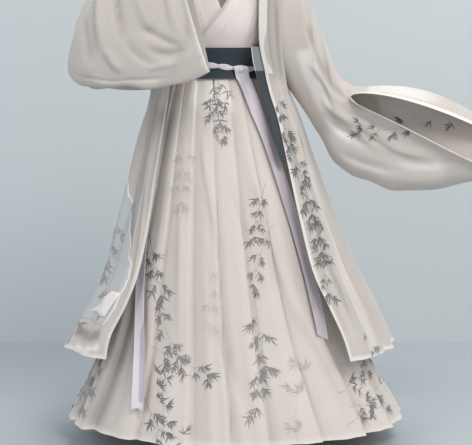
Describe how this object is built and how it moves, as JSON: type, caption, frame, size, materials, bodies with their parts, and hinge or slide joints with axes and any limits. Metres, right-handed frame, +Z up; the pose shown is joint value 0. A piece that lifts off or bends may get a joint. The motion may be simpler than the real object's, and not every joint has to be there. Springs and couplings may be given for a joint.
{
  "type": "hanfu robe set",
  "caption": "Worn hanfu: crossed-collar top, pleated long skirt, dark sash with lavender tie ribbons, and a sheer open robe with wide hanging sleeves.",
  "frame": {"origin": "midway between the two points where the neck meets the shoulders, at the height where the set hangs from its wearer", "axes": "+Z up, -Y the way the wearer faces, +X towards the wearer's left side"},
  "size_m": [1.2555, 0.7663, 1.344],
  "materials": {
    "top_cloth": "ivory cotton and silk blend, matt",
    "skirt_cloth": "warm off-white sheer chiffon with grey bamboo sprays, soft sheen",
    "lining_cloth": "beige lining, matt",
    "sash_cloth": "dark slate-blue woven sash, low sheen",
    "tie_cloth": "lavender-grey satin ribbon, soft sheen",
    "robe_cloth": "sheer warm grey organza with grey bamboo sprays, soft sheen"
  },
  "bodies": {
    "root": {"ribbon_left": "tie_cloth", "ribbon_right": "tie_cloth", "robe_back": "robe_cloth", "robe_band_back": "robe_cloth", "robe_band_left": "robe_cloth", "robe_band_right": "robe_cloth", "robe_front_left": "robe_cloth", "robe_front_right": "robe_cloth", "robe_sleeve_left": "robe_cloth", "robe_sleeve_left_end": "robe_cloth", "robe_sleeve_right": "robe_cloth", "robe_sleeve_right_end": "robe_cloth", "sash": "sash_cloth", "skirt": "skirt_cloth", "skirt_lining": "lining_cloth", "skirt_waistband": "skirt_cloth", "tie_band": "tie_cloth", "tie_knot": "tie_cloth", "top_back": "top_cloth", "top_collar_back": "top_cloth", "top_collar_left": "top_cloth", "top_collar_right": "top_cloth", "top_front_left": "top_cloth", "top_front_right": "top_cloth", "top_sleeve_left": "top_cloth", "top_sleeve_right": "top_cloth"}
  },
  "joints": []
}
